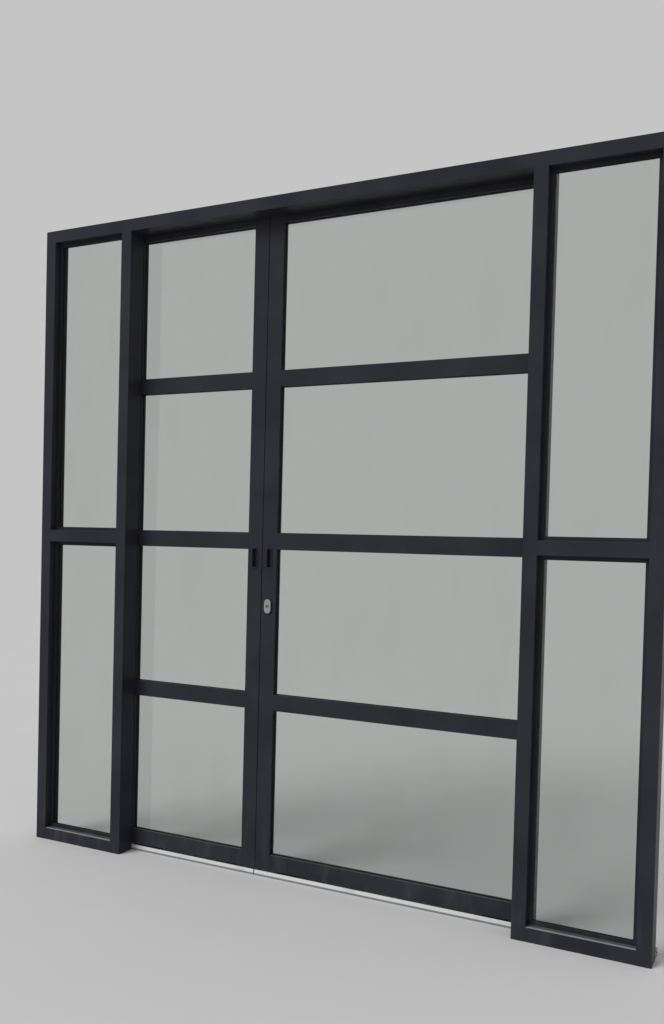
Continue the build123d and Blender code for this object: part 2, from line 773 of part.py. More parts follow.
    # Flush pulls: a flanged cup on each face of the meeting stile
    with BuildPart() as flush_pulls:
        for face_y, inward in ((leaf_front_y, 1), (leaf_back_y, -1)):
            with BuildSketch(upright_plane(face_y)):
                with Locations((pull_x, pull_height)):
                    SlotOverall(pull_length, pull_width, rotation=90)
            extrude(amount=inward * pull_flange)
            with BuildSketch(upright_plane(face_y)):
                with Locations((pull_x, pull_height)):
                    RectangleRounded(
                        recess_width + 2 * pull_wall,
                        recess_length + 2 * pull_wall,
                        recess_radius + pull_wall,
                    )
            extrude(amount=-inward * (recess_depth + pull_wall))
            with BuildSketch(upright_plane(face_y - inward * pull_flange)):
                with Locations((pull_x, pull_height)):
                    RectangleRounded(recess_width, recess_length, recess_radius)
            extrude(amount=-inward * (recess_depth + pull_flange), mode=Mode.SUBTRACT)
    flush_pulls.part.label = side + "_flush_pulls"
    export_step(flush_pulls.part, "parts/" + side + "_flush_pulls.step")

# Soft strip between the meeting stiles, carried by the left one
with BuildPart() as meeting_seal:
    with BuildSketch(Plane.XY.offset(leaf_bottom)):
        with Locations((leaf_edges["left"][1], leaf_front_y + meeting_seal_setback)):
            Rectangle(meeting_gap - seal_clearance, seal_width, align=(Align.MIN, Align.MIN))
    extrude(amount=leaf_top - groove_depth - leaf_bottom)
meeting_seal.part.label = "meeting_seal"
export_step(meeting_seal.part, "parts/meeting_seal.step")

# Lock case with its face plate, open inside round the claw, which turns on a fixed pin
edge = leaf_edges["right"][1]
with BuildPart() as lock_case:
    with BuildSketch(end_plane(edge)):
        with Locations((leaf_mid_y, (plate_low + plate_high) / 2)):
            Rectangle(plate_width, plate_high - plate_low)
    extrude(amount=plate_thickness)
    with BuildSketch(end_plane(edge + plate_thickness)):
        with Locations((leaf_mid_y, (case_low + case_high) / 2)):
            Rectangle(case_thickness, case_high - case_low)
    extrude(amount=case_depth)
    with BuildSketch(upright_plane(leaf_mid_y)):
        with Locations((edge + plate_thickness, claw_z - claw_hub_radius - claw_room)):
            Rectangle(
                claw_setback + claw_outer + claw_room - plate_thickness,
                claw_hub_radius + claw_outer + 2 * claw_room,
                align=(Align.MIN, Align.MIN),
            )
    extrude(amount=claw_thickness / 2 + claw_room, both=True, mode=Mode.SUBTRACT)
    with BuildSketch(end_plane(edge)):
        with Locations((leaf_mid_y, claw_z + face_slot_low)):
            Rectangle(
                claw_slot_width,
                face_slot_high - face_slot_low,
                align=(Align.CENTER, Align.MIN),
            )
    extrude(amount=plate_thickness, mode=Mode.SUBTRACT)
    with BuildSketch(upright_plane(leaf_mid_y)):
        with Locations((lock_x, lock_height)):
            Circle(barrel_diameter / 2 + cutout_clearance)
    extrude(amount=case_thickness, both=True, mode=Mode.SUBTRACT)
    with BuildSketch(upright_plane(leaf_mid_y)):
        with Locations((claw_x, claw_z)):
            Circle(claw_pin / 2)
    extrude(amount=claw_thickness / 2 + claw_room, both=True)
lock_case.part.label = "lock_case"
export_step(lock_case.part, "parts/lock_case.step")

# Claw: a ring sector on a hub, which swings out into the keeper of the left leaf
claw_sweep = claw_tip_angle - claw_tail_angle
with BuildPart() as claw:
    with BuildSketch(upright_plane(leaf_mid_y)):
        with BuildLine():
            outer_arc = CenterArc((claw_x, claw_z), claw_outer, claw_tail_angle, claw_sweep)
            inner_arc = CenterArc((claw_x, claw_z), claw_inner, claw_tail_angle, claw_sweep)
            Line(outer_arc @ 0, inner_arc @ 0)
            Line(outer_arc @ 1, inner_arc @ 1)
        make_face()
        with BuildLine():
            web_arc = CenterArc((claw_x, claw_z), claw_inner + claw_web_overlap, claw_tail_angle, claw_web_angle)
            Line((claw_x, claw_z), web_arc @ 0)
            Line((claw_x, claw_z), web_arc @ 1)
        make_face()
        with Locations((claw_x, claw_z)):
            Circle(claw_hub_radius)
            Circle(claw_pin / 2 + turning_fit, mode=Mode.SUBTRACT)
    extrude(amount=claw_thickness / 2, both=True)
claw.part.label = "lock_claw"
export_step(claw.part, "parts/lock_claw.step")

# Keeper: a slotted plate let into the edge of the left leaf
with BuildPart() as keeper:
    with BuildSketch(end_plane(leaf_edges["left"][1])):
        with Locations((leaf_mid_y, claw_z)):
            Rectangle(plate_width, keeper_length)
        with Locations((leaf_mid_y, claw_z + keeper_slot_low)):
            Rectangle(
                claw_slot_width,
                keeper_slot_high - keeper_slot_low,
                align=(Align.CENTER, Align.MIN),
                mode=Mode.SUBTRACT,
            )
    extrude(amount=-plate_thickness)
keeper.part.label = "keeper_plate"
export_step(keeper.part, "parts/keeper_plate.step")

# Oval key cylinder outside, with its barrel through the stile to the middle of the case
with BuildPart() as cylinder:
    with BuildSketch(upright_plane(leaf_front_y)):
        with Locations((lock_x, lock_height)):
            SlotOverall(oval_length, oval_width, rotation=90)
    extrude(amount=oval_projection)
    fillet(cylinder.faces().sort_by(Axis.Y)[0].edges(), radius=oval_edge)
    with BuildSketch(upright_plane(leaf_front_y)):
        with Locations((lock_x, lock_height)):
            Circle(barrel_diameter / 2)
    extrude(amount=-leaf_thickness / 2)
    with BuildSketch(upright_plane(leaf_front_y - oval_projection)):
        with Locations((lock_x, lock_height)):
            Circle(plug_diameter / 2 + turning_fit)
    extrude(amount=-(leaf_thickness / 2 + oval_projection), mode=Mode.SUBTRACT)
cylinder.part.label = "lock_cylinder"
export_step(cylinder.part, "parts/lock_cylinder.step")

# Key plug that turns in the cylinder
plug_front = leaf_front_y - oval_projection - plug_proud
with BuildPart() as key_plug:
    with BuildSketch(upright_plane(plug_front)):
        with Locations((lock_x, lock_height)):
            Circle(plug_diameter / 2)
    extrude(amount=-(leaf_mid_y - lock_end_gap - plug_front))
    with BuildSketch(upright_plane(plug_front)):
        with Locations((lock_x, lock_height)):
            Rectangle(key_slot_width, key_slot_height)
    extrude(amount=-key_slot_depth, mode=Mode.SUBTRACT)
key_plug.part.label = "key_plug"
export_step(key_plug.part, "parts/key_plug.step")

# Oval rose inside, with its own barrel
with BuildPart() as rose:
    with BuildSketch(upright_plane(leaf_back_y)):
        with Locations((lock_x, lock_height)):
            SlotOverall(oval_length, oval_width, rotation=90)
    extrude(amount=-rose_projection)
    fillet(rose.faces().sort_by(Axis.Y)[-1].edges(), radius=oval_edge)
    with BuildSketch(upright_plane(leaf_back_y)):
        with Locations((lock_x, lock_height)):
            Circle(barrel_diameter / 2)
    extrude(amount=leaf_thickness / 2 - lock_end_gap)
    with BuildSketch(upright_plane(leaf_mid_y)):
        with Locations((lock_x, lock_height)):
            Circle(turn_spindle / 2 + turning_fit)
    extrude(amount=-(leaf_thickness / 2 + rose_projection), mode=Mode.SUBTRACT)
rose.part.label = "inner_rose"
export_step(rose.part, "parts/inner_rose.step")

# Thumb turn with a long oval grip
with BuildPart() as thumb_turn:
    with BuildSketch(upright_plane(leaf_mid_y + lock_end_gap)):
        with Locations((lock_x, lock_height)):
            Circle(turn_spindle / 2)
    extrude(amount=-(leaf_thickness / 2 + rose_projection))
    with BuildSketch(upright_plane(leaf_back_y + rose_projection + lock_end_gap)):
        with Locations((lock_x, lock_height)):
            SlotOverall(turn_grip_length, turn_grip_width, rotation=90)
    extrude(amount=-(turn_projection - rose_projection - lock_end_gap))
    fillet(thumb_turn.faces().sort_by(Axis.Y)[-1].edges(), radius=oval_edge)
thumb_turn.part.label = "thumb_turn"
export_step(thumb_turn.part, "parts/thumb_turn.step")
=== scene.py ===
from math import cos, pi, radians, sin

import bmesh
import bpy
from mathutils import Matrix, Vector


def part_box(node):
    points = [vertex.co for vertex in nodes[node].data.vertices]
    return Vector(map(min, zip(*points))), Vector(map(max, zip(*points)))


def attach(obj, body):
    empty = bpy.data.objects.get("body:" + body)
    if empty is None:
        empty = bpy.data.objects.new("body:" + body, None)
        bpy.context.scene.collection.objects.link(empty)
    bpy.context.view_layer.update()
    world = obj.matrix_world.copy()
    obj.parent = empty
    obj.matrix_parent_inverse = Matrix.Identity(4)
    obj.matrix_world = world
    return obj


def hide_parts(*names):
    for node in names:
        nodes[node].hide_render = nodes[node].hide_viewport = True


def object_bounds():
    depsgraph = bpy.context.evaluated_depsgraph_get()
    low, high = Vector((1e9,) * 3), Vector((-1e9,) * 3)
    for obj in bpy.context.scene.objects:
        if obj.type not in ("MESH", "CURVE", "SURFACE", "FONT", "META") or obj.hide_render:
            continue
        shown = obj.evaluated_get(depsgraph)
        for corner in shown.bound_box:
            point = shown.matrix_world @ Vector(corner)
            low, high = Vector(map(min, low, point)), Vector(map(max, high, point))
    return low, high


# Glass entrance screen with two fixed sidelights and two sliding leaves on a floor rail.
# Metres, in the frame of the CAD: X to the right seen from outside, Y into the room, Z up.
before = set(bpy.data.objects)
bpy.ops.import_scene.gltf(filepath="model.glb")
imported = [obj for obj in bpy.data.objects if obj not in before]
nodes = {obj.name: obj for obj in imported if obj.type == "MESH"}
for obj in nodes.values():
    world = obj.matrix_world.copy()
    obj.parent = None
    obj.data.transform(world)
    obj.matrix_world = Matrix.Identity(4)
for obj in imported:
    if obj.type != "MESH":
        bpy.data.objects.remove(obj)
cad_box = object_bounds()


# Outer frame: head, jambs, mullions, sill rails and transoms.
# Aluminium box sections with a satin black powder coat, mitred at the head and butted below,
# held by screws and cleats inside. The coat has the fine orange peel of baked powder.
class Flow:
    """A shader socket that Python arithmetic works on."""

    def __init__(self, tree, socket):
        self.tree, self.socket = tree, socket

    def maths(self, operation, *values):
        node = self.tree.nodes.new("ShaderNodeMath")
        node.operation = operation
        for place, value in zip(node.inputs, values):
            if isinstance(value, Flow):
                self.tree.links.new(value.socket, place)
            else:
                place.default_value = value
        return Flow(self.tree, node.outputs[0])

    def __add__(self, other):
        return self.maths("ADD", self, other)

    def __radd__(self, other):
        return self.maths("ADD", other, self)

    def __sub__(self, other):
        return self.maths("SUBTRACT", self, other)

    def __rsub__(self, other):
        return self.maths("SUBTRACT", other, self)

    def __mul__(self, other):
        return self.maths("MULTIPLY", self, other)

    def __rmul__(self, other):
        return self.maths("MULTIPLY", other, self)

    def __pow__(self, other):
        return self.maths("POWER", self, other)

    def __abs__(self):
        return self.maths("ABSOLUTE", self)

    def least(self, other):
        return self.maths("MINIMUM", self, other)


class Finish:
    """A node material: constants sit on its Principled shader, and what varies is linked."""

    def __init__(self, name, **constants):
        self.material = bpy.data.materials.new(name)
        self.material.use_nodes = True
        self.tree = self.material.node_tree
        self.shader = self.tree.nodes["Principled BSDF"]
        for socket, value in constants.items():
            self.shader.inputs[socket.replace("_", " ")].default_value = value
        self.place = self.node("ShaderNodeTexCoord", {}, {}, "Object")

    def node(self, kind, settings, inputs, output=0):
        node = self.tree.nodes.new(kind)
        for name, value in settings.items():
            setattr(node, name, value)
        for name, value in inputs.items():
            if isinstance(value, Flow):
                self.tree.links.new(value.socket, node.inputs[name])
            else:
                node.inputs[name].default_value = value
        return Flow(self.tree, node.outputs[output])

    def axes(self, vector):
        node = self.tree.nodes.new("ShaderNodeSeparateXYZ")
        self.tree.links.new(vector.socket, node.inputs[0])
        return [Flow(self.tree, output) for output in node.outputs]

    def noise(self, scale, stretch=(1, 1, 1), detail=2.0):
        """Noise of the given repeats per metre, drawn out along an axis by a stretch under 1."""
        place = self.node("ShaderNodeMapping", {}, {"Vector": self.place, "Scale": stretch})
        inputs = {"Vector": place, "Scale": scale, "Detail": detail}
        return self.node("ShaderNodeTexNoise", {}, inputs)

    def between(self, value, low, high, to_low=0.0, to_high=1.0):
        """A soft step of the value from low to high."""
        inputs = {"Value": value, "From Min": low, "From Max": high}
        inputs.update({"To Min": to_low, "To Max": to_high})
        return self.node("ShaderNodeMapRange", {"interpolation_type": "SMOOTHSTEP"}, inputs)

    def blend(self, factor, first, second):
        """Colour mix; a plain colour is given as three numbers.

        The node's number and colour sockets share their names, so the colours go by place.
        """
        colour_a, colour_b, colour_result = 6, 7, 2
        inputs = {0: factor}
        for place, colour in ((colour_a, first), (colour_b, second)):
            inputs[place] = colour if isinstance(colour, Flow) else (*colour, 1.0)
        return self.node("ShaderNodeMix", {"data_type": "RGBA"}, inputs, colour_result)

    def feed(self, **links):
        for socket, value in links.items():
            self.tree.links.new(value.socket, self.shader.inputs[socket.replace("_", " ")])

    def relief(self, height, distance):
        """Bump from a height of 0 to 1 that stands for the given distance in metres."""
        inputs = {"Height": height, "Distance": distance}
        self.feed(Normal=self.node("ShaderNodeBump", {}, inputs, "Normal"))

    def mix_in(self, factor, other):
        """Lets another shader take over where the factor is 1."""
        own = Flow(self.tree, self.shader.outputs[0])
        mixed = self.node("ShaderNodeMixShader", {}, {0: factor, 1: own, 2: other})
        surface = self.tree.nodes["Material Output"].inputs["Surface"]
        self.tree.links.new(mixed.socket, surface)


def dress(finish, *names):
    """Puts a finish on CAD nodes."""
    for name in names:
        for slot in nodes[name].material_slots:
            slot.material = finish.material


frame_half, frame_top = cad_box[1][0], cad_box[1][2]
mullion_inner, mullion_outer = (corner.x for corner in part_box("right_mullion"))
jamb_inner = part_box("right_jamb")[0].x
member_face = mullion_outer - mullion_inner
seam_width, seam_depth = 0.0005, 3.0
coat_colour, coat_worn = (0.0190, 0.0194, 0.0265), (0.0255, 0.0260, 0.0345)
# Pale grey of dust. On the lips of the sill rails and transoms it is also a painted highlight.
coat_dust_and_highlight = (0.36, 0.36, 0.37)
coat_specular, coat_relief = 0.12, 0.00006
ledge_slope = (0.45, 0.95)
dusty_heights, dust_left_above = (0.05, 0.5), 0.45
splashed_heights, splash_share = (0.02, 0.3), 0.05
# Behind the lip a ledge keeps only this share of its pale mark, as painted shade.
lip_width, lip_blur, ledge_share_in_shade = 0.011, 0.003, 0.25


def powder_coat(name, along, joints, dust_and_highlight_share=0.15, lip_back=None):
    """Satin black powder coat on a section that runs along one axis, with its hairline joints.

    A joint is a line and its place: across X or Z, at both sides of the middle, or the mitre.
    The share is how much of a level ledge turns pale near the ground: dust, lying thickest on
    the outer lip of the ledge, as far back as the given place along Y. There the pale lip is also
    a painted highlight, and the duller ledge behind it is painted shade. Splashes leave a little
    dust on the upright faces too.
    """
    finish = Finish(name, Specular_IOR_Level=coat_specular)
    x, y, z = finish.axes(finish.place)
    up = finish.axes(finish.node("ShaderNodeNewGeometry", {}, {}, "Normal"))[2]
    cloudy = finish.noise(5.0)
    wiped = finish.noise(22.0, stretch=(1, 1, 0.25), detail=4.0)

    grit = finish.between(finish.noise(900.0, detail=2.0), 0.35, 0.65)
    drift = finish.between(finish.noise(14.0, detail=3.0), 0.3, 0.7)
    cover = 0.6 + grit * 0.2 + drift * 0.2
    settled = finish.between(z, *dusty_heights, dust_and_highlight_share, dust_and_highlight_share * dust_left_above)
    ledge = finish.between(up, *ledge_slope) * cover * settled
    if lip_back is not None:
        lip_ends = (lip_back - lip_blur, lip_back + lip_blur)
        ledge = ledge * finish.between(y, *lip_ends, 1.0, ledge_share_in_shade)
    splash = (1.0 - finish.between(z, *splashed_heights)) * finish.between(wiped, 0.45, 0.8)
    dust_and_highlight = (ledge + splash * splash_share).least(dust_and_highlight_share)

    body = finish.blend(finish.between(cloudy, 0.3, 0.7), coat_colour, coat_worn)
    finish.feed(Base_Color=finish.blend(dust_and_highlight, body, coat_dust_and_highlight))
    rubbed = finish.between(wiped, 0.5, 0.75)
    finish.feed(Roughness=0.33 + cloudy * 0.1 + rubbed * 0.08 + dust_and_highlight * 0.6)

    peel = finish.noise(620.0, detail=1.0)
    drawn = finish.noise(420.0, stretch=(0.01, 1, 1) if along == "X" else (1, 1, 0.01))
    height = peel * 0.5 + drawn * 0.25
    for line, place in joints:
        if line == "mitre":
            across = abs(abs(x) - z)
        elif line == "both sides":
            across = abs(x)
        else:
            across = {"X": x, "Z": z}[line]
        joint = 1.0 - finish.between(abs(across - place), 0.0, seam_width)
        height = height - joint * seam_depth
    finish.relief(height, coat_relief)
    return finish


mitre = [("mitre", frame_top - frame_half)]
dress(powder_coat("jamb_coat", "Z", mitre), "left_jamb", "right_jamb")
dress(powder_coat("head_coat", "X", mitre), "head")
mullion_coat = powder_coat("mullion_coat", "Z", [("Z", frame_top - member_face)])
dress(mullion_coat, "left_mullion", "right_mullion")
crossbar_joints = [("both sides", mullion_outer), ("both sides", jamb_inner)]
# The sill rails and transoms carry the most: their pale outer lips are dust and a painted
# highlight, with painted shade on the ledge behind.
lip_back = cad_box[0][1] + lip_width
crossbar_coat = powder_coat("crossbar_coat", "X", crossbar_joints, 0.9, lip_back)
dress(crossbar_coat, "left_sill_rail", "right_sill_rail", "left_transom", "right_transom")
transom_low, transom_high = (corner.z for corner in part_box("right_transom"))
channel_height = 0.012
lites = ((member_face, transom_low), (transom_high, frame_top - member_face))
channel_joints = []
for lite_low, lite_high in lites:
    channel_joints += [("Z", lite_low + channel_height), ("Z", lite_high - channel_height)]
dress(powder_coat("channel_coat", "Z", channel_joints), "sidelight_channels")


# Corner cleats and spigots inside the frame joints.
# Sawn mill-finish aluminium, pushed into the hollow members. They only show at open ends.
stain, scuffed = (0.34, 0.335, 0.325), (0.88, 0.88, 0.88)
foot_heights, dark_foot_colour = (0.0055, 0.0085), (0.15, 0.15, 0.145)
bead_edge, sealant = (0.0015, 0.003), (0.09, 0.09, 0.088)


def mill_aluminium(name, tread, foot_darkening, dark, light, butt=None):
    """Bare extruded aluminium with die lines along X, scuffs from treading and a darker foot.

    Its oxide skin scatters about half of the light, so it is only half metallic. Where two
    lengths butt, a bead of grey sealant fills the joint.
    """
    finish = Finish(name, Metallic=0.5, Anisotropic=0.3)
    lines = finish.noise(300.0, stretch=(0.008, 1, 1), detail=4.0)
    blotch = finish.noise(9.0, detail=3.0)
    scuff = finish.noise(90.0, stretch=(1, 0.12, 0.3), detail=3.0)
    worn = finish.between(scuff, 0.58, 0.7) * tread
    grey = finish.blend(finish.between(lines, 0.25, 0.75), dark, light)
    stained = finish.blend(finish.between(blotch, 0.5, 0.8) * 0.35, grey, stain)
    bare = finish.blend(worn * 0.4, stained, scuffed)
    x, _, z = finish.axes(finish.place)
    foot = 1.0 - finish.between(z, *foot_heights)
    colour = finish.blend(foot * foot_darkening, bare, dark_foot_colour)
    rough = 0.3 + lines * 0.14 + worn * 0.15
    if butt is not None:
        bead = 1.0 - finish.between(abs(x - butt), *bead_edge)
        colour = finish.blend(bead, colour, sealant)
        rough = rough + bead * 0.4
    finish.feed(Base_Color=colour, Roughness=rough)
    finish.relief(lines - worn * 0.8, 0.00005)
    return finish


sawn = mill_aluminium(
    "sawn_aluminium", tread=0.3, foot_darkening=0.0, dark=(0.56, 0.57, 0.585), light=(0.72, 0.725, 0.73))
dress(sawn, "joint_cleats")


# Floor rail: two lengths of mill-finish aluminium that butt under the meeting line.
# The rib carries the grooved wheels, and the lips at both edges keep dirt off it.
rail_metal = mill_aluminium(
    "rail_aluminium", tread=1.0, foot_darkening=0.85, dark=(0.76, 0.77, 0.785), light=(0.88, 0.885, 0.89),
    butt=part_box("left_floor_rail")[1].x)
dress(rail_metal, "left_floor_rail", "right_floor_rail")


# Panes of clear 6 mm float glass, in the sidelights and in the leaves.
# Slightly green, with the faint waves of toughened glass and a trace of dust wiped across it.
glass_clean, glass_filmed = (0.69, 0.708, 0.694), (0.662, 0.678, 0.664)
glass = Finish("float_glass", Transmission_Weight=1.0, IOR=1.5, Roughness=0.0)
film = glass.between(glass.noise(7.0, stretch=(1, 1, 0.4), detail=4.0), 0.45, 0.8)
glass.feed(Base_Color=glass.blend(film, glass_clean, glass_filmed))
glass.relief(glass.noise(2.6, stretch=(0.4, 1, 1), detail=0.0), 0.0003)
shadow_ray = glass.node("ShaderNodeLightPath", {}, {}, "Is Shadow Ray")
shadow_tint = (0.82, 0.84, 0.825, 1.0)
glass.mix_in(shadow_ray, glass.node("ShaderNodeBsdfTransparent", {}, {"Color": shadow_tint}))
dress(glass, "left_lower_pane", "left_upper_pane", "right_lower_pane", "right_upper_pane")
dress(glass, "left_leaf_panes", "right_leaf_panes")


# Gaskets round every pane and end stops on the floor rail.
# Extruded black rubber with a dull skin that holds dust in its grain.
rubber_clean, rubber_bloomed = (0.008, 0.008, 0.0085), (0.032, 0.032, 0.031)
rubber = Finish("gasket_rubber", Specular_IOR_Level=0.3)
bloom = rubber.between(rubber.noise(14.0, detail=3.0), 0.4, 0.75)
rubber.feed(Base_Color=rubber.blend(bloom * 0.5, rubber_clean, rubber_bloomed))
rubber.feed(Roughness=0.6 + bloom * 0.2)
rubber.relief(rubber.noise(900.0, detail=3.0), 0.00008)
dress(rubber, "sidelight_gaskets", "left_leaf_gaskets", "right_leaf_gaskets", "end_stops")


# Top guide: an aluminium section screwed to the back of the head, powder coated like the frame.
# Its fin runs in the grooves of both leaves.
dress(powder_coat("guide_coat", "X", []), "top_guide")


# Leaves: stiles that run full height, with rails and muntins screwed between them.
# The same coat as the frame, with a hairline joint at both ends of every bar.
bar_names = ("bottom_rail", "top_rail", "lower_muntin", "middle_muntin", "upper_muntin")
for side in ("left", "right"):
    stile_coat = powder_coat(side + "_stile_coat", "Z", [])
    dress(stile_coat, side + "_outer_stile", side + "_meeting_stile")
    bars = [side + "_" + bar for bar in bar_names]
    bar_joints = [("X", corner.x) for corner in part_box(bars[0])]
    dress(powder_coat(side + "_bar_coat", "X", bar_joints), *bars)


# Screws, roller housings, lock case and claw: zinc-plated steel.
# The plating is a dull blue-grey with cloudy crystals.
zinc_dark, zinc_light = (0.46, 0.475, 0.5), (0.66, 0.66, 0.64)
grease_and_shade_heights, grease_and_shade = (0.02, 0.04), (0.025, 0.024, 0.022)


def zinc_plate(name, foot_darkening):
    """Zinc plate, darkened near the floor by black grease and by painted shade under the leaf."""
    finish = Finish(name, Metallic=1.0)
    cells = {"Vector": finish.place, "Scale": 160.0}
    spangle = finish.axes(finish.node("ShaderNodeTexVoronoi", {}, cells, "Color"))[0]
    tone = spangle * 0.35 + finish.noise(40.0, detail=3.0) * 0.65
    foot = (1.0 - finish.between(finish.axes(finish.place)[2], *grease_and_shade_heights)) * foot_darkening
    plated = finish.blend(tone, zinc_dark, zinc_light)
    finish.feed(Base_Color=finish.blend(foot, plated, grease_and_shade))
    finish.feed(Roughness=0.3 + tone * 0.22 + foot * 0.3)
    finish.relief(tone, 0.00003)
    return finish


zinc = zinc_plate("zinc_plate", 0.0)
dress(zinc, "guide_screws", "left_leaf_screws", "right_leaf_screws", "lock_case", "lock_claw")
# The roller housings are darkened near the floor: grease, and painted shade of the gap under the
# leaf.
dress(zinc_plate("greasy_shaded_zinc", 0.95), "left_roller_housings", "right_roller_housings")


# Wheels and guide blocks: black nylon, turned and moulded.
# A wheel shows the rings of its turning, and is polished towards its rim by the rail's rib.
nylon_dark, nylon_light = (0.011, 0.011, 0.0115), (0.024, 0.024, 0.024)
groove_flank, ring_frequency = (0.0155, 0.0185), 9000.0


def black_nylon(name, axle=None):
    """Black nylon; a wheel's is given the X and Z of the axle that its rings go round."""
    finish = Finish(name, Specular_IOR_Level=0.4)
    grain = finish.noise(500.0, detail=3.0)
    finish.feed(Base_Color=finish.blend(grain, nylon_dark, nylon_light))
    rough = 0.42 + grain * 0.2
    if axle:
        x, _, z = finish.axes(finish.place)
        radius = ((x - axle[0]) ** 2.0 + (z - axle[1]) ** 2.0) ** 0.5
        polished = finish.between(radius, *groove_flank)
        turned = {0: radius * ring_frequency}
        rings = finish.node("ShaderNodeMath", {"operation": "SINE"}, turned)
        rough = rough - polished * 0.15 + rings * 0.03
    finish.feed(Roughness=rough)
    finish.relief(grain, 0.00003)
    return finish


for side in ("left", "right"):
    for wheel in (side + "_outer_wheel", side + "_meeting_wheel"):
        low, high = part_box(wheel)
        axle = ((low.x + high.x) / 2, (low.z + high.z) / 2)
        dress(black_nylon(wheel + "_nylon", axle), wheel)
dress(black_nylon("block_nylon"), "left_guide_blocks", "right_guide_blocks")


# Flush pulls: cast zinc cups let into both faces of each meeting stile, painted satin black.
# The casting has soft edges and a grain a little coarser than the powder coat.
paint_colour, paint_rubbed = (0.0150, 0.0155, 0.0215), (0.0215, 0.0220, 0.0290)
cast = Finish("cast_zinc_paint", Specular_IOR_Level=0.16)
pits = cast.noise(1100.0, detail=3.0)
rubbed = cast.between(cast.noise(60.0, detail=4.0), 0.45, 0.7)
cast.feed(Base_Color=cast.blend(rubbed, paint_colour, paint_rubbed))
cast.feed(Roughness=0.36 - rubbed * 0.08 + pits * 0.08)
cast.relief(pits, 0.00005)


def rounded_ring(width, length, corner, depth):
    """Points of an upright rounded rectangle in X and Z, at a depth along Y."""
    corner_steps = 8
    points = []
    for quarter, (side_x, side_z) in enumerate(((1, 1), (-1, 1), (-1, -1), (1, -1))):
        for step in range(corner_steps + 1):
            angle = (quarter + step / corner_steps) * pi / 2
            x = side_x * (width / 2 - corner) + corner * cos(angle)
            z = side_z * (length / 2 - corner) + corner * sin(angle)
            points.append((x, depth, z))
    return points


def skin(mesh, rings):
    """Adds a closed body to the mesh: rings of equal count joined in order, with capped ends."""
    rows = [[mesh.verts.new(point) for point in ring] for ring in rings]
    count = len(rows[0])
    for near, far in zip(rows, rows[1:]):
        for i in range(count):
            j = (i + 1) % count
            mesh.faces.new((near[i], near[j], far[j], far[i]))
    mesh.faces.new(rows[0])
    mesh.faces.new(rows[-1])


def as_object(name, mesh, material):
    """Turns a closed mesh into an object with outward faces, smooth but for its sharp edges."""
    sharp = radians(35)
    bmesh.ops.recalc_face_normals(mesh, faces=mesh.faces)
    for face in mesh.faces:
        face.smooth = True
    for edge in mesh.edges:
        edge.smooth = edge.calc_face_angle() < sharp
    data = bpy.data.meshes.new(name)
    mesh.to_mesh(data)
    mesh.free()
    data.materials.append(material)
    piece = bpy.data.objects.new(name, data)
    bpy.context.collection.objects.link(piece)
    return piece


# From the back of the cup over its collar and down to its floor: width, length, corner, depth.
# Depths are measured inwards from the face of the leaf.
cup_sections = [
    (0.0200, 0.0680, 0.0060, 0.0155), (0.0210, 0.0690, 0.0065, 0.0145),
    (0.0210, 0.0690, 0.0065, 0.0), (0.0260, 0.0840, 0.0130, 0.0),
    (0.0260, 0.0840, 0.0130, -0.0011), (0.0255, 0.0835, 0.01275, -0.0017),
    (0.0245, 0.0825, 0.01225, -0.0020), (0.0195, 0.0675, 0.0058, -0.0020),
    (0.0184, 0.0664, 0.0052, -0.0017), (0.0180, 0.0660, 0.0050, -0.0009),
    (0.0170, 0.0650, 0.0045, 0.0120), (0.0162, 0.0642, 0.0041, 0.0135),
    (0.0146, 0.0626, 0.0033, 0.0140),
]
same_point = 1e-6
for side in ("left", "right"):
    low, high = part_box(side + "_flush_pulls")
    pull_x, pull_height = (low.x + high.x) / 2, (low.z + high.z) / 2
    leaf_front, leaf_back = (corner.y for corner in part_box(side + "_bottom_rail"))
    cups = bmesh.new()
    for face_y, inward in ((leaf_front, 1), (leaf_back, -1)):
        rings = []
        for width, length, corner, depth in cup_sections:
            ring = rounded_ring(width, length, corner, face_y + inward * depth)
            rings.append([(pull_x + x, y, pull_height + z) for x, y, z in ring])
        skin(cups, rings)
    # The collar ends in half circles, where the points of two corners fall together.
    bmesh.ops.remove_doubles(cups, verts=cups.verts, dist=same_point)
    pulls = as_object(side + "_pull_castings", cups, cast.material)
    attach(pulls, side + "_leaf")
    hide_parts(side + "_flush_pulls")


# Pile seals on the backs of the mullions, which brush the fronts of the leaves.
# Grey polypropylene fibres on a woven backing.
fibre_dark, fibre_light = (0.035, 0.035, 0.037), (0.12, 0.12, 0.125)
pile = Finish("grey_pile", Roughness=0.9, Specular_IOR_Level=0.2, Sheen_Weight=0.4)
fibre = pile.noise(1500.0, stretch=(1, 0.1, 1), detail=2.0)
pile.feed(Base_Color=pile.blend(fibre, fibre_dark, fibre_light))
pile.relief(fibre, 0.0004)

low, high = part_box("pile_seals")
seal_low, seal_high = low.z, high.z
seal_back, seal_depth, seal_width = low.y, high.y - low.y, 0.007
backing_front, backing_bevel = seal_back + 0.0012, 0.0004
tuft_pitch, tuft_columns = 0.004, 2
seal_middle = (mullion_inner + mullion_outer) / 2


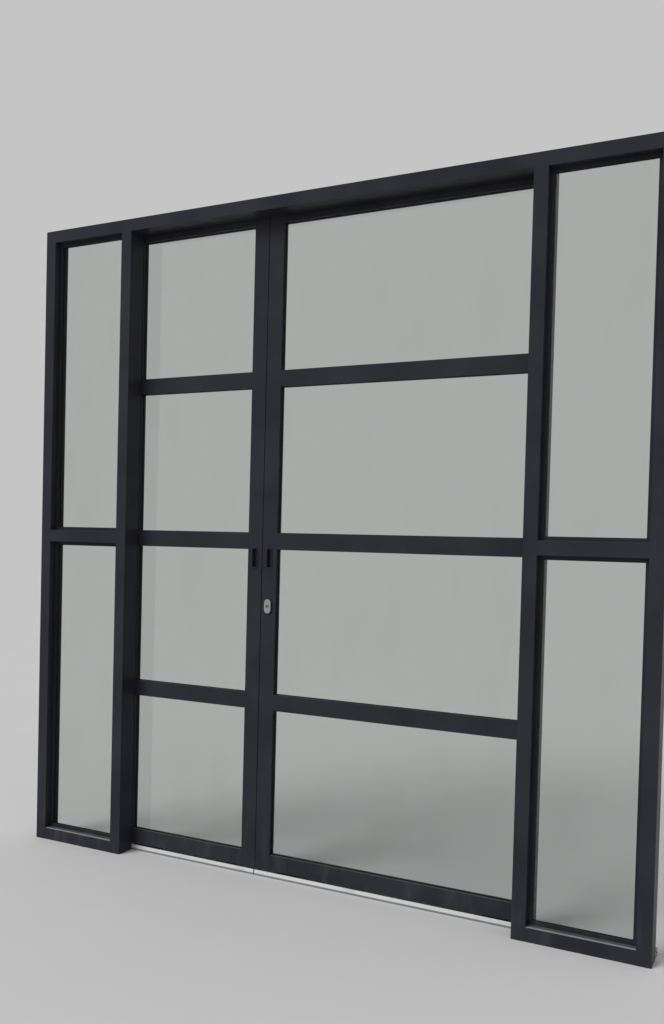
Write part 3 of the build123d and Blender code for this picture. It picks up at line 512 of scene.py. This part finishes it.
def tuft_group():
    """Node group: rows of flared tufts that stand along Y over each given point."""
    tree = bpy.data.node_groups.new("pile_tufts", "GeometryNodeTree")
    tree.is_modifier = True
    tree.interface.new_socket("Geometry", in_out="INPUT", socket_type="NodeSocketGeometry")
    for name, kind in (("Rows", "Int"), ("Pitch", "Float"), ("Height", "Float"), ("Foot", "Float"),
                       ("Tip", "Float"), ("Seed", "Int"), ("Material", "Material")):
        tree.interface.new_socket(name, in_out="INPUT", socket_type="NodeSocket" + kind)
    tree.interface.new_socket("Geometry", in_out="OUTPUT", socket_type="NodeSocketGeometry")

    def add(kind, settings, inputs):
        node = tree.nodes.new(kind)
        for name, value in settings.items():
            setattr(node, name, value)
        for name, value in inputs.items():
            if isinstance(value, bpy.types.NodeSocket):
                tree.links.new(value, node.inputs[name])
            else:
                node.inputs[name].default_value = value
        return node.outputs

    given = add("NodeGroupInput", {}, {})
    seed = given["Seed"]
    step = add("ShaderNodeCombineXYZ", {}, {"Z": given["Pitch"]})
    column = add("GeometryNodeMeshLine", {"mode": "OFFSET"}, {
        "Count": given["Rows"], "Offset": step[0],
    })
    columns = add("GeometryNodeInstanceOnPoints", {}, {
        "Points": given["Geometry"], "Instance": column[0],
    })
    spots = add("GeometryNodeRealizeInstances", {}, {"Geometry": columns[0]})
    tuft = add("GeometryNodeMeshCone", {"fill_type": "NGON"}, {
        "Vertices": 7, "Depth": given["Height"],
        "Radius Top": given["Tip"], "Radius Bottom": given["Foot"],
    })
    upright, lean, twist = -pi / 2, 0.14, 0.5
    shortest, longest = 0.9, 1.0
    turn = add("FunctionNodeRandomValue", {"data_type": "FLOAT_VECTOR"}, {
        0: (upright - lean, -twist, -lean), 1: (upright + lean, twist, lean), "Seed": seed,
    })
    size = add("FunctionNodeRandomValue", {"data_type": "FLOAT"}, {
        2: shortest, 3: longest, "Seed": seed,
    })
    tufts = add("GeometryNodeInstanceOnPoints", {}, {
        "Points": spots[0], "Instance": tuft["Mesh"], "Rotation": turn[0], "Scale": size[1],
    })
    real = add("GeometryNodeRealizeInstances", {}, {"Geometry": tufts[0]})
    finished = add("GeometryNodeSetMaterial", {}, {
        "Geometry": real[0], "Material": given["Material"],
    })
    add("NodeGroupOutput", {}, {0: finished[0]})
    return tree


column_step = seal_width / tuft_columns
first_column, first_row = -(tuft_columns - 1) / 2 * column_step, seal_low + tuft_pitch / 2
feet = bpy.data.meshes.new("tuft_feet")
feet.from_pydata(
    [(side * seal_middle + first_column + i * column_step, backing_front, first_row)
     for side in (-1, 1) for i in range(tuft_columns)], [], [])
grower = bpy.data.objects.new("tuft_grower", feet)
bpy.context.collection.objects.link(grower)
group = tuft_group()
growth = grower.modifiers.new("tufts", "NODES")
growth.node_group = group
tuft_sizes = {
    "Rows": int((seal_high - seal_low) / tuft_pitch), "Pitch": tuft_pitch,
    "Height": seal_back + seal_depth - backing_front, "Foot": 0.0014, "Tip": 0.0019, "Seed": 7,
    "Material": pile.material,
}
for socket in group.interface.items_tree:
    if socket.in_out == "INPUT" and socket.name in tuft_sizes:
        growth[socket.identifier] = tuft_sizes[socket.name]
grown_object = grower.evaluated_get(bpy.context.evaluated_depsgraph_get())
grown = bpy.data.meshes.new_from_object(grown_object)
bpy.data.objects.remove(grower)

brush = bmesh.new()
brush.from_mesh(grown)
for side in (-1, 1):
    left, right = side * seal_middle - seal_width / 2, side * seal_middle + seal_width / 2
    backing = [
        (left, seal_back), (right, seal_back), (right, backing_front - backing_bevel),
        (right - backing_bevel, backing_front), (left + backing_bevel, backing_front),
        (left, backing_front - backing_bevel),
    ]
    skin(brush, [[(x, y, z) for x, y in backing] for z in (seal_low, seal_high)])
pile_brush = as_object("pile_brush", brush, pile.material)
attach(pile_brush, "frame")
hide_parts("pile_seals")


# Meeting seal: a rubber bulb on a flat foot, pushed on to the edge of the left leaf.
# It closes the gap between the meeting stiles, and is hidden unless the leaves are apart.
low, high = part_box("meeting_seal")
seal_edge, seal_reach = low.x, high.x - low.x
seal_y, seal_foot = (low.y + high.y) / 2, (high.y - low.y) / 2
foot_thickness, bulb_radius = 0.0008, 0.0024
bulb_steps, bulb_reach = 12, seal_reach - foot_thickness
bulb = [
    (0.0, seal_foot), (0.0, -seal_foot), (foot_thickness, -seal_foot),
    (foot_thickness, -bulb_radius),
]
for i in range(1, bulb_steps):
    angle = -pi / 2 + pi * i / bulb_steps
    bulb.append((foot_thickness + bulb_reach * cos(angle), bulb_radius * sin(angle)))
bulb += [(foot_thickness, bulb_radius), (foot_thickness, seal_foot)]
strip = bmesh.new()
skin(strip, [[(seal_edge + x, seal_y + y, z) for x, y in bulb] for z in (low.z, high.z)])
bulb_seal = as_object("bulb_seal", strip, rubber.material)
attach(bulb_seal, "left_leaf")
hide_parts("meeting_seal")


# Lock furniture: oval key cylinder, key plug, inner rose, thumb turn and keeper plate.
# Steel with a satin chrome finish, brushed along its length.
def satin_chrome(name, dark, light):
    finish = Finish(name, Metallic=1.0)
    brushed = finish.noise(1400.0, stretch=(1, 1, 0.02), detail=3.0)
    handled = finish.between(finish.noise(120.0, detail=4.0), 0.5, 0.8)
    finish.feed(Base_Color=finish.blend(brushed, dark, light))
    finish.feed(Roughness=0.22 + brushed * 0.12 + handled * 0.1)
    finish.relief(brushed, 0.00003)
    return finish


chrome = satin_chrome("satin_chrome", dark=(0.39, 0.395, 0.41), light=(0.54, 0.545, 0.555))
dress(chrome, "lock_cylinder", "inner_rose", "thumb_turn", "keeper_plate")
nickel = satin_chrome("plug_nickel", dark=(0.2, 0.195, 0.18), light=(0.31, 0.3, 0.28))
dress(nickel, "key_plug")


# Stage: a plain pale floor that keeps the shadow of the screen, and soft studio light.
# The world has the grey that the lit floor has, so the floor runs into it without a horizon.
backdrop = 0.56
sky_share, lamp_share = backdrop, 0.40
floor_grey = backdrop / (sky_share + lamp_share)
floor_reach, fade_near, fade_far = 60.0, 5.0, 20.0
floor = bpy.data.objects.new("floor", bpy.data.meshes.new("floor"))
corners = [(-floor_reach, -floor_reach, 0), (floor_reach, -floor_reach, 0),
           (floor_reach, floor_reach, 0), (-floor_reach, floor_reach, 0)]
floor.data.from_pydata(corners, [], [(0, 1, 2, 3)])
bpy.context.collection.objects.link(floor)
ground = Finish("pale_floor", Roughness=0.9, Specular_IOR_Level=0.0)
tint = ground.noise(3.0, detail=5.0)
ground.feed(Base_Color=ground.blend(tint, [floor_grey * 0.98] * 3, [floor_grey * 1.02] * 3))
far = ground.node("ShaderNodeVectorMath", {"operation": "LENGTH"}, {0: ground.place}, "Value")
glow = ground.node("ShaderNodeEmission", {}, {"Color": (backdrop, backdrop, backdrop, 1.0)})
ground.mix_in(ground.between(far, fade_near, fade_far), glow)
floor.data.materials.append(ground.material)

world = bpy.data.worlds.new("studio")
world.use_nodes = True
sky = world.node_tree.nodes["Background"]
sky.inputs["Color"].default_value = (sky_share, sky_share, sky_share, 1.0)
bpy.context.scene.world = world

aim_at = Vector((0, 0, 1.1))


def lamp(name, kind, place, energy, size):
    """Soft lamp that points at the middle of the screen and is seen in no glass and no gloss."""
    light = bpy.data.lights.new(name, kind)
    light.energy = energy
    if kind == "SUN":
        light.angle = size
    else:
        light.size = size
    stand = bpy.data.objects.new(name, light)
    stand.location = place
    stand.rotation_euler = (aim_at - place).to_track_quat("-Z", "Y").to_euler()
    stand.visible_transmission = False
    stand.visible_camera = False
    stand.visible_glossy = False
    bpy.context.collection.objects.link(stand)


sun_height, sun_side, sun_distance = radians(40), radians(28), 5.0
sun_level = cos(sun_height)
sun_from = Vector((-sun_level * sin(sun_side), -sun_level * cos(sun_side), sin(sun_height)))
sun_energy, sun_softness = lamp_share * pi / sin(sun_height), radians(30)
lamp("sun", "SUN", aim_at + sun_distance * sun_from, sun_energy, sun_softness)
key_place, key_watts, key_size = Vector((-1.8, -4.2, 2.6)), 12.0, 2.4
lamp("key", "AREA", key_place, key_watts, key_size)


# Camera: where the photograph was taken from, to the right of the screen and 1.2 m above the
# floor. The lens axis lies a little below the middle of the picture, hence the shift.
camera_place = (1.55049, -2.92102, 1.20495)
yaw, pitch, roll = 0.46664, -0.02576, 0.02569
picture_height, axis_row, focal_pixels = 1024, 567.82, 950.0
ahead = Vector((-sin(yaw) * cos(pitch), cos(yaw) * cos(pitch), sin(pitch)))
level = ahead.cross(Vector((0, 0, 1))).normalized()
above = level.cross(ahead)
right = level * cos(roll) + above * sin(roll)
up = above * cos(roll) - level * sin(roll)
camera = bpy.data.objects.new("camera", bpy.data.cameras.new("camera"))
camera.data.sensor_width = 36.0
camera.data.lens = focal_pixels / picture_height * camera.data.sensor_width
camera.data.shift_y = (axis_row - picture_height / 2) / picture_height
turn = Matrix((right, up, -ahead)).transposed()
camera.matrix_world = Matrix.Translation(camera_place) @ turn.to_4x4()
bpy.context.collection.objects.link(camera)
bpy.context.scene.camera = camera
bpy.context.scene.view_settings.view_transform = "Standard"
